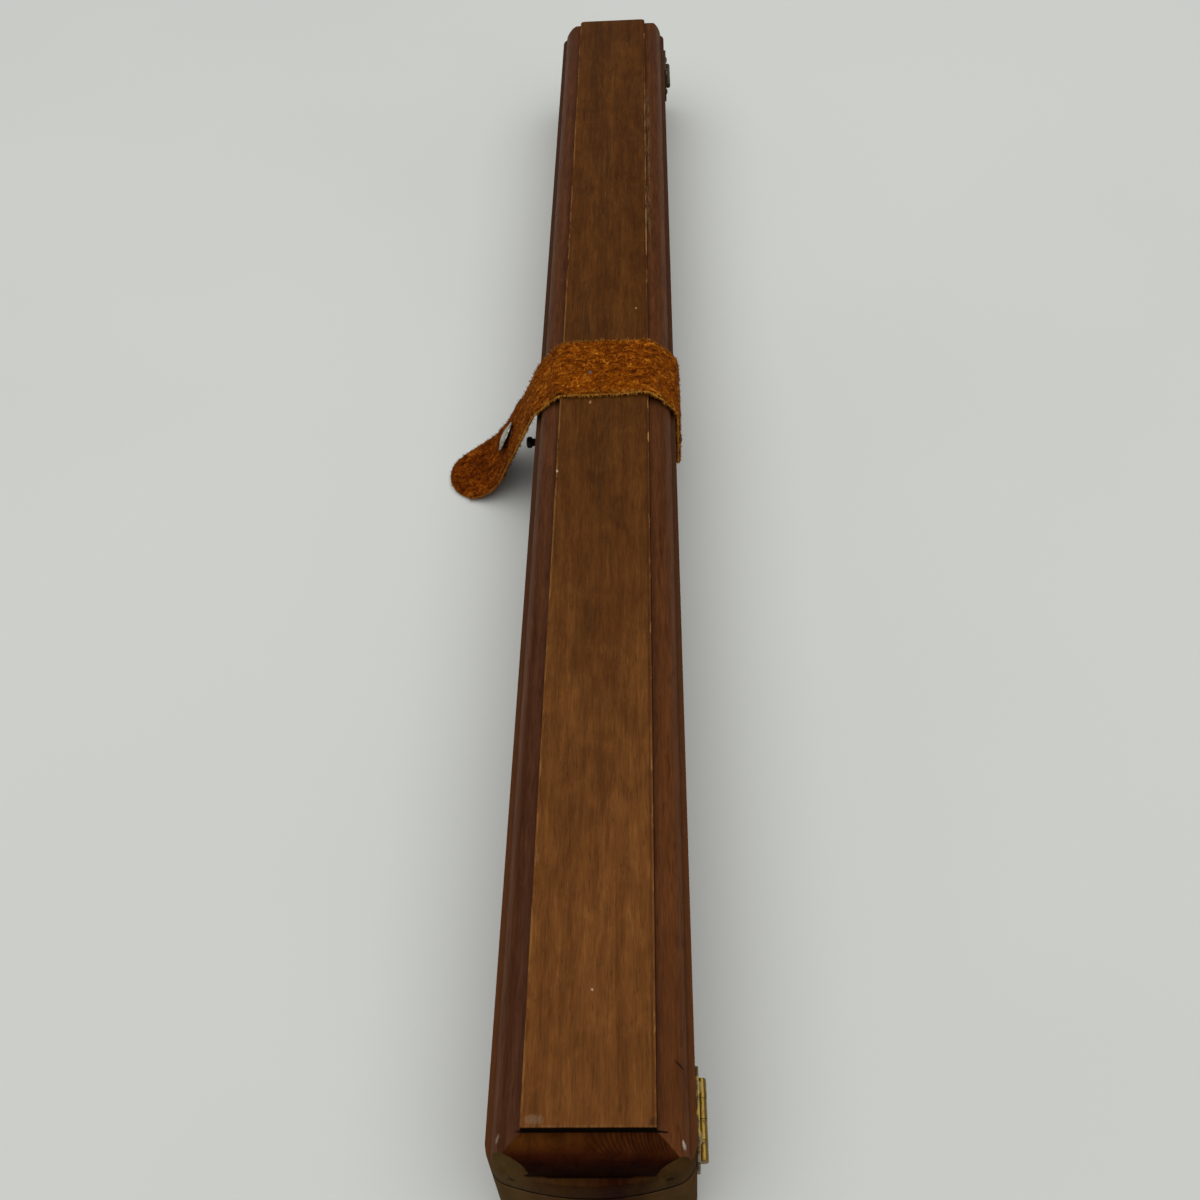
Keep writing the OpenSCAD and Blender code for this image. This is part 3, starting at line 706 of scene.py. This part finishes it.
def merged_copy(node, name):
    """A copy of a CAD node's mesh with its doubles merged and its flat faces whole."""
    piece = nodes[node].copy()
    piece.data = nodes[node].data.copy()
    named(piece, name)
    piece.parent = None
    for key in list(piece.keys()):
        del piece[key]
    bpy.context.collection.objects.link(piece)
    only(piece)
    bpy.ops.object.mode_set(mode="EDIT")
    bpy.ops.mesh.select_all(action="SELECT")
    bpy.ops.mesh.remove_doubles(threshold=2e-6)
    bpy.ops.mesh.customdata_custom_splitnormals_clear()
    bpy.ops.mesh.dissolve_limited(angle_limit=math.radians(0.4))
    done()
    return piece


def smooth(piece, angle=34):
    only(piece)
    bpy.ops.object.shade_smooth_by_angle(angle=math.radians(angle))


def eased(node, name, width, rounds, sharp, where=lambda place: True):
    """A copy of a CAD node whose outer edges past an angle are eased by a small round."""
    piece = merged_copy(node, name)
    pick(piece, "EDGE", lambda e: turn_at(e) > math.radians(sharp) and where(middle(e)))
    bevel(width, rounds)
    done()
    smooth(piece)
    return piece


def turned(name, profile, sides):
    """A piece turned about Z, from radii and heights in millimetres, its lower face first."""
    radius, height = profile[0]
    bpy.ops.object.select_all(action="DESELECT")
    bpy.ops.mesh.primitive_circle_add(vertices=sides, radius=radius * MM, fill_type="NGON",
                                      location=(0, 0, height * MM))
    piece = named(bpy.context.object, name)
    bpy.ops.object.transform_apply(location=True)
    pick(piece, "FACE", lambda face: True)
    for next_radius, next_height in profile[1:]:
        bpy.ops.mesh.extrude_region_move(
            TRANSFORM_OT_translate={"value": (0, 0, (next_height - height) * MM)})
        scale = next_radius / radius
        bpy.ops.transform.resize(value=(scale, scale, 1), center_override=(0, 0, next_height * MM))
        radius, height = next_radius, next_height
    bpy.ops.mesh.select_all(action="SELECT")
    bpy.ops.mesh.normals_make_consistent(inside=False)
    done()
    smooth(piece, 40)
    return piece


def put(piece, matrix):
    """Moves a piece's mesh to its place, so that its object stays at the origin."""
    piece.data.transform(matrix)
    piece.data.update()


def finish_piece(piece, body, slot, node, *materials):
    set_finish(piece, *materials)
    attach(piece, body)
    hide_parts(node)


# -------------------------------- wooden parts
def rasp_corners(board):
    """Takes the board's four corners down to planes that lean inwards, each corner in seven strokes
    that follow the case's outline. The far left corner is worn most."""
    for end, side, lean in ((1, -1, 16), (1, 1, 9), (-1, 1, 13), (-1, -1, 28)):
        for turn, share in ((11.5, 0.8), (17.6, 1), (29, 1), (42, 1), (55, 1), (68, 0.8),
                            (80, 0.4)):
            way = math.radians(turn)
            # The foot of each plane is on the bowed end or on the round corner
            if turn <= 17.6:
                foot = (BOW_X + BOW_R * math.cos(way), BOW_R * math.sin(way))
            else:
                foot = (CORNER_X + CORNER_R * math.cos(way), CORNER_Y + CORNER_R * math.sin(way))
            foot = Vector((end * foot[0], side * foot[1], BOARD_FOOT + 0.2)) * MM
            tip = math.radians(lean * share)
            out = (end * math.cos(way) * math.cos(tip), side * math.sin(way) * math.cos(tip),
                   math.sin(tip))
            pick(board, "FACE", lambda face: True)
            bpy.ops.mesh.bisect(plane_co=foot, plane_no=out, use_fill=False, clear_outer=True)
            pick(board, "EDGE", is_open)
            bpy.ops.mesh.edge_face_add()
            done()


def lid_board():
    """The moulded board, with its corners rasped down to stained end grain."""
    board = merged_copy("lid_board", "moulded_lid_board")
    rasp_corners(board)

    def at_far_corner(edge):
        place = middle(edge) / MM
        rise = abs(edge.verts[0].co.z - edge.verts[1].co.z) / MM
        return place.x < -337.5 and abs(place.y) > 19 and place.z > 59 and rise > 3
    # The field's far corners are worn round
    pick(board, "EDGE", at_far_corner)
    bevel(2.4, 4)
    pick(board, "EDGE", lambda e: turn_at(e) > math.radians(30)
         and middle(e).z > (BOARD_FOOT + 0.3) * MM)
    bevel(EDGE_ROUND, 2)
    done()
    smooth(board)
    finish_piece(board, "lid", "stained_wood", "lid_board", board_wood, end_wood)
    # Rasped faces are below the moulding, or inside the quarter rounds
    for face in board.data.polygons:
        place = face.center / MM
        to_end = math.hypot(abs(place.x) - FIELD_HALF_L, place.z - ROUND_Z)
        to_side = math.hypot(abs(place.y) - FIELD_HALF_W, place.z - ROUND_Z)
        rasped = place.z < LEDGE_TOP or max(to_end, to_side) < ROUND_R - 0.3
        if rasped and abs(place.x) > 333 and abs(face.normal.z) < 0.8:
            face.material_index = 1


def plain_wood():
    """Floor, rails and end blocks. Only the seam's edges and the underside's are rounded: the rest
    are glued joints."""
    def worn(place):
        return abs(place.z - SEAM * MM) < 0.05 * MM or place.z < 0.05 * MM
    for node in ("base_floor", "base_front_rail", "base_back_rail", "base_near_end",
                 "base_far_end", "lid_front_rail", "lid_back_rail", "lid_near_end", "lid_far_end"):
        piece = eased(node, "worn_" + node, EDGE_ROUND, 2, 60, worn)
        body = node.split("_")[0]
        if node.endswith("_end"):
            finish_piece(piece, body, "end_grain_wood", node, end_wood)
        else:
            finish_piece(piece, body, "stained_wood", node, rail_wood)


# -------------------------------- hinges and small hardware
def hinges():
    for which in ("near", "far"):
        for half in ("base", "lid"):
            node = which + "_hinge_" + half + "_leaf"
            piece = eased(node, "rounded_" + node, 0.14, 2, 50)
            finish_piece(piece, half, "brass", node, brass)


def small_hardware():
    """Gives the CAD nodes that show as they are their finishes."""
    for finish, shown in ((brass, ("near_hinge_pin", "far_hinge_pin", "base_hinge_screws",
                                   "lid_hinge_screws", "stud_washer")),
                          (rusted, ("base_brads", "lid_brads")),
                          (steel, ("anchor_tacks", "stud_spacer")),
                          (nickel, ("snap_post", "snap_socket")), (dull_tack, ("strap_tack",))):
        for node in shown:
            set_finish(nodes[node], finish)


def snap():
    # The cap has a rolled rim, a shallow groove inside it and a low dome
    cap = turned("snap_cap_shell", [(7.0, 0.0), (7.3, 0.1), (7.48, 0.35), (7.44, 0.62), (7.2, 0.86),
                                    (6.8, 0.96), (6.4, 0.94), (6.1, 0.98), (5.4, 1.25), (4.4, 1.6),
                                    (3.2, 1.9), (2.0, 2.09), (0.9, 2.18), (0.15, 2.2)], 64)
    down = Vector((0, -math.sin(FALL), -math.cos(FALL)))
    seat = SNAP_AT + SNAP_OUT * (STRAP_T / 2 + CAP_STANDS_OFF * MM)
    turn = Matrix.Rotation(math.pi / 2 - FALL, 4, "X")
    tipped = Matrix.Rotation(math.radians(CAP_TILT), 4, down)
    put(cap, Matrix.Translation(seat) @ tipped @ turn)
    finish_piece(cap, "strap_flap", "nickel", "snap_cap", nickel)
    # The stud: a shank, a neck and a round head with a rolled edge
    stud = turned("stud_with_head", [(1.8, -8.0), (1.8, 5.35), (1.9, 5.5), (2.35, 5.62),
                                     (2.62, 5.95), (2.7, 6.5), (2.7, 7.1), (2.6, 7.6), (2.3, 7.95),
                                     (1.8, 8.14), (1.2, 8.19), (0.15, 8.2)], 48)
    front = Matrix.Translation((0, -CASE_HALF_W * MM, STUD_Z * MM))
    put(stud, front @ Matrix.Rotation(math.pi / 2, 4, "X"))
    finish_piece(stud, "base", "blued_steel", "snap_stud", stud_steel)


# -------------------------------- felt inside
def felt_tray(name, node, body, up):
    """A felt tray hollowed from the box of its CAD node, open upwards or downwards, with rounded
    edges and slightly wavy sides."""
    low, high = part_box(node)
    size = high - low
    centre = (low + high) / 2
    bpy.ops.object.select_all(action="DESELECT")
    bpy.ops.mesh.primitive_cube_add(size=1, location=centre)
    piece = named(bpy.context.object, name)
    piece.scale = size
    bpy.ops.object.transform_apply(location=True, rotation=True, scale=True)
    pick(piece, "FACE", lambda face: face.normal.z * up > 0.9)
    bpy.ops.mesh.inset(thickness=FELT_T * MM)
    bpy.ops.mesh.extrude_region_move(
        TRANSFORM_OT_translate={"value": (0, 0, -up * (size.z - FELT_T * MM))})
    # Round hollows inside, short lengths for the waves, and a round rim
    pick(piece, "EDGE", lambda e: turn_at(e) < -0.5)
    bevel(1.6, 3, False)
    pick(piece, "EDGE", lambda e: e.calc_length() > 0.3)
    bpy.ops.mesh.subdivide(number_cuts=60)
    pick(piece, "EDGE", lambda e: turn_at(e) > 0.5
         and (middle(e).z - centre.z) * up > size.z * 0.45)
    bevel(0.45, 2, False)
    done()
    # The inner faces wave, and those that are glued to the wood stay flat
    for point in piece.data.vertices:
        x, y, z = point.co
        if abs(y) < size.y / 2 - 0.3 * MM and abs(x) < size.x / 2 - 0.3 * MM:
            wave = noise.noise(Vector((x * 60, y * 200, z * 200)))
            point.co.y -= math.copysign(0.22 * MM * (0.4 + wave), y)
    smooth(piece, 50)
    finish_piece(piece, body, "felt", node, felt)


def cradles():
    for node in ("cradle_near", "cradle_middle", "cradle_far"):
        piece = eased(node, "felted_" + node, 0.9, 3, 40)
        finish_piece(piece, "base", "felt", node, felt)


# -------------------------------- suede strap
def filleted(corners):
    """Points along straight runs joined by arcs. A corner is (y, z, radius), in millimetres."""
    places = [Vector(corner[:2]) for corner in corners]
    path = [places[0]]
    for i in range(1, len(corners) - 1):
        corner, radius = places[i], corners[i][2]
        before = (places[i - 1] - corner).normalized()
        after = (places[i + 1] - corner).normalized()
        half = before.angle(after) / 2
        run = radius / math.tan(half)
        first, last = corner + before * run, corner + after * run
        centre = corner + (before + after).normalized() * radius / math.sin(half)
        for k in range(13):
            share = k / 12
            direction = (first - centre).lerp(last - centre, share).normalized()
            path.append(centre + direction * radius)
    path.append(places[-1])
    return path


def even(path, spacing):
    """The same path with its points evenly spaced, and its length."""
    lengths = [0.0]
    for a, b in zip(path, path[1:]):
        lengths.append(lengths[-1] + (b - a).length)
    count = round(lengths[-1] / spacing)
    points, i = [], 0
    for k in range(count + 1):
        target = lengths[-1] * k / count
        while i < len(path) - 2 and lengths[i + 1] < target:
            i += 1
        share = (target - lengths[i]) / max(lengths[i + 1] - lengths[i], 1e-9)
        points.append(path[i].lerp(path[i + 1], min(share, 1)))
    return points, lengths[-1]


def ease(amount, low, high):
    """0 below low, 1 above high, and smooth between them."""
    share = min(max((amount - low) / (high - low), 0), 1)
    return share * share * (3 - 2 * share)


def strap_path():
    """The strap's middle line in Y and Z, from its fixed end over the lid and round the curl."""
    knee = Vector((KNEE.y, KNEE.z)) / MM
    half = STRAP_T / 2 / MM
    radius = (knee.y - half) / (1 - math.sin(FALL))
    centre = knee + radius * Vector((-math.cos(FALL), math.sin(FALL)))
    path = filleted([(32.15, 20, 0), (32.15, 51.6, 10), (20.2, 62.25, 7), (-20.4, 62.25, 7),
                     (BEND.y / MM, BEND.z / MM, 14), tuple(knee) + (0,)])
    for k in range(1, 33):
        angle = FALL + (math.pi / 2 - FALL) * k / 32
        path.append(centre + radius * Vector((math.cos(angle), -math.sin(angle))))
    path.append(Vector((TIP_Y / MM, half)))
    return even(path, STRAP_GRID)


def at_snap(place):
    """Whether a place in the strap is on the snap's axis, within the stud's head and a little
    more."""
    away = place - SNAP_AT
    depth = away.dot(SNAP_OUT)
    return abs(depth) < 4 * MM and (away - SNAP_OUT * depth).length < HEAD_ROOM * MM


def sag_of(across, run, left):
    """How a place hangs off the strap's middle line: drawn in, lifted and slid along X. Run and
    left are its distances from the fixed end and from the tip."""
    # The far edge is drawn in under the bend, and lies a little higher below the knee
    far_side = (1 - across) / 2
    drawn_in = (2.2 * ease(left, 46, 54) * (1 - ease(left, 66, 100))
                + 0.9 * ease(left, 28, 36) * (1 - ease(left, 46, 54)))
    lift = 1.3 * (1 - ease(left, 30, 40)) * ease(left, 6, 18) * far_side ** 1.5
    # The near edge stands off the field's right corner
    near_side = (1 + across) / 2
    lift += 0.7 * ease(run, 34, 42) * (1 - ease(run, 52, 60)) * near_side ** 8
    slide = 2.0 * (1 - ease(left, 5, 40))
    return drawn_in * far_side ** 1.4, lift, slide


def strap_sheet(points, length):
    """A grid with the strap's flat map, laid along the middle line and cut to the strap's shape.
    Comes with each point's distance from the cut edge."""
    rows = len(points) - 1
    columns = round(STRAP_W / MM / STRAP_GRID)
    bpy.ops.object.select_all(action="DESELECT")
    bpy.ops.mesh.primitive_grid_add(x_subdivisions=columns, y_subdivisions=rows, size=1,
                                    calc_uvs=True)
    strap = named(bpy.context.object, "suede_strap")
    half_w = STRAP_W / MM / 2
    flat = [(point.co.x * 2 * half_w, (point.co.y + 0.5) * length)
            for point in strap.data.vertices]
    hide = strap.data.uv_layers[0]
    hide.name = "hide"
    for loop in strap.data.loops:
        hide.data[loop.index].uv = flat[loop.vertex_index]
    from_rim = []
    for point, (wide, run) in zip(strap.data.vertices, flat):
        across = wide / half_w
        left = length - run
        # The end is cut to a half circle, and all edges waver a little
        cut = half_w if left > half_w else math.sqrt(max(half_w ** 2 - (half_w - left) ** 2, 0.0))
        from_rim.append(min(cut * (1 - abs(across)), left))
        cut += (0.35 * noise.noise(Vector((run * 0.16, across * 3, 1.5)))
                + 0.16 * noise.noise(Vector((run * 0.9, across * 3, 7.5))))
        row = run / length * rows
        i = min(int(row), rows - 1)
        ahead = (points[i + 1] - points[i]).normalized()
        drawn_in, lift, slide = sag_of(across, run, left)
        place = points[i].lerp(points[i + 1], row - i) - Vector((ahead.y, -ahead.x)) * drawn_in
        point.co = Vector((across * cut + slide, place.x, place.y + lift)) * MM
    return strap, from_rim


def thicken(strap, from_rim):
    """Gives the strap its thickness. Both skins draw together towards the rim, so that the cut edge
    is thin and round."""
    only(strap)
    solid = strap.modifiers.new("thickness", "SOLIDIFY")
    solid.thickness = STRAP_T
    solid.offset = 0
    solid.material_offset_rim = 1
    set_finish(strap, suede, suede_edge)
    bpy.ops.object.modifier_apply(modifier="thickness")
    count = len(from_rim)
    skin = strap.data.vertices
    for i, inset in enumerate(from_rim):
        share = min(inset / 1.3, 1)
        keep = 0.34 + 0.66 * math.sqrt(1 - (1 - share) ** 2)
        core = (skin[i].co + skin[i + count].co) / 2
        for point in (skin[i], skin[i + count]):
            point.co = core.lerp(point.co, keep)
    strap.data.update()


def roughen(strap):
    """Small humps and pits on both faces, and a recess under the cap, which takes the stud's head
    when the snap is shut."""
    normals = [point.normal.copy() for point in strap.data.vertices]
    for point, normal in zip(strap.data.vertices, normals):
        place = point.co / MM
        hump = noise.fractal(place * 0.55, 0.8, 2.0, 4) * 0.2 + noise.noise(place * 1.9) * 0.14
        point.co += normal * hump * MM
        if at_snap(point.co):
            floor = 1.3 if normal.dot(SNAP_OUT) > 0 else 0.95
            depth = (point.co - SNAP_AT).dot(SNAP_OUT)
            point.co += SNAP_OUT * max(floor * MM - depth, 0)


def add_nap(strap):
    """Loose fibres of the hide: bent spikes, long along the cut edges and flatter on the skins."""
    random.seed(7)
    mesh = bmesh.new()
    mesh.from_mesh(strap.data)
    mesh.faces.ensure_lookup_table()
    layer = mesh.loops.layers.uv["hide"]
    faces = list(mesh.faces)
    rims = [face for face in faces if face.material_index == 1]
    skins = [face for face in faces if face.material_index == 0]
    outer = [face for face in skins if abs(face.loops[0][layer].uv.x) > 17.2]
    # Number of fibres, shortest and longest, how far they lie over, and their finest and coarsest
    for source, number, short, long, lay, fine, coarse in (
            (rims, 2200, 0.7, 2.1, 0.9, 0.09, 0.16), (outer, 1500, 0.7, 1.7, 1.2, 0.08, 0.14),
            (skins, 6500, 0.6, 1.5, 2.6, 0.07, 0.13)):
        for _ in range(number):
            face = random.choice(source)
            reach = random.uniform(short, long)
            lean = Vector([random.uniform(-1, 1) for _ in range(3)])
            lean -= face.normal * lean.dot(face.normal) * 0.8
            root = face.calc_center_median()
            # None where the strap lies on the table or takes the stud
            if root.z < 1.6 * MM or at_snap(root):
                continue
            way = (face.normal + lean * lay).normalized()
            side = way.orthogonal().normalized()
            across = way.cross(side)
            knee = root + way * reach * 0.55 * MM
            tip = knee + (way + lean.cross(way) * 0.9).normalized() * reach * 0.45 * MM
            thick = random.uniform(fine, coarse) * MM
            low, high = [], []
            for k in range(3):
                turn = math.tau * k / 3
                out = side * math.cos(turn) + across * math.sin(turn)
                low.append(mesh.verts.new(root + out * thick - way * 0.1 * MM))
                high.append(mesh.verts.new(knee + out * thick * 0.7))
            end = mesh.verts.new(tip)
            made = [mesh.faces.new(low[::-1])]
            for k in range(3):
                n = (k + 1) % 3
                made.append(mesh.faces.new((low[k], low[n], high[n], high[k])))
                made.append(mesh.faces.new((high[k], high[n], end)))
            uv = face.loops[0][layer].uv + Vector((60 + random.uniform(0, 30), 0))
            for new in made:
                new.material_index = face.material_index
                for loop in new.loops:
                    loop[layer].uv = uv
    mesh.to_mesh(strap.data)
    mesh.free()
    strap.data.update()


def suede_strap():
    """The whole strap in one piece, and its length."""
    points, length = strap_path()
    strap, from_rim = strap_sheet(points, length)
    thicken(strap, from_rim)
    roughen(strap)
    add_nap(strap)
    smooth(strap, 80)
    return strap, length


def strap_pieces():
    """The strap in three lengths that meet at flat places."""
    strap, length = suede_strap()
    over_middle, drop_middle = 66.0, length - 60
    for name, start, end in (("strap_back", -1, over_middle),
                             ("strap_front", over_middle, drop_middle),
                             ("strap_tongue_end", drop_middle, length + 1)):
        piece = strap.copy()
        piece.data = strap.data.copy()
        named(piece, name)
        bpy.context.collection.objects.link(piece)
        layer = piece.data.uv_layers["hide"].data
        kept = set()
        for face in piece.data.polygons:
            if start < sum(layer[i].uv.y for i in face.loop_indices) / face.loop_total < end:
                kept.add(face.index)
        pick(piece, "FACE", lambda face: face.index not in kept)
        bpy.ops.mesh.delete(type="FACE")
        pick(piece, "EDGE", is_open)
        bpy.ops.mesh.edge_face_add()
        done()
        if name == "strap_back":
            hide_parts("strap_anchor")
            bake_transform(piece)
        elif name == "strap_front":
            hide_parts("strap_over_lid")
            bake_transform(piece)
        else:
            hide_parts("strap_drop", "strap_tongue")
            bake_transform(piece)
    bpy.data.objects.remove(strap)


lid_board()
plain_wood()
hinges()
small_hardware()
snap()
felt_tray("base_felt", "base_lining", "base", 1)
felt_tray("lid_felt", "lid_lining", "lid", -1)
cradles()
strap_pieces()

# -------------------------------- table and light
bpy.ops.object.select_all(action="DESELECT")
bpy.ops.mesh.primitive_plane_add(size=12, location=(0, 0, -0.0001))
table = named(bpy.context.object, "table")
bpy.ops.object.transform_apply(location=True)
set_finish(table, table_finish())

lamp("overhead", (-0.05, 0, 1.7), 3.6, 48)
world = bpy.data.worlds.new("room")
bpy.context.scene.world = world
world.use_nodes = True
background = world.node_tree.nodes["Background"]
background.inputs["Color"].default_value = (0.97, 0.98, 1, 1)
background.inputs["Strength"].default_value = 0.3
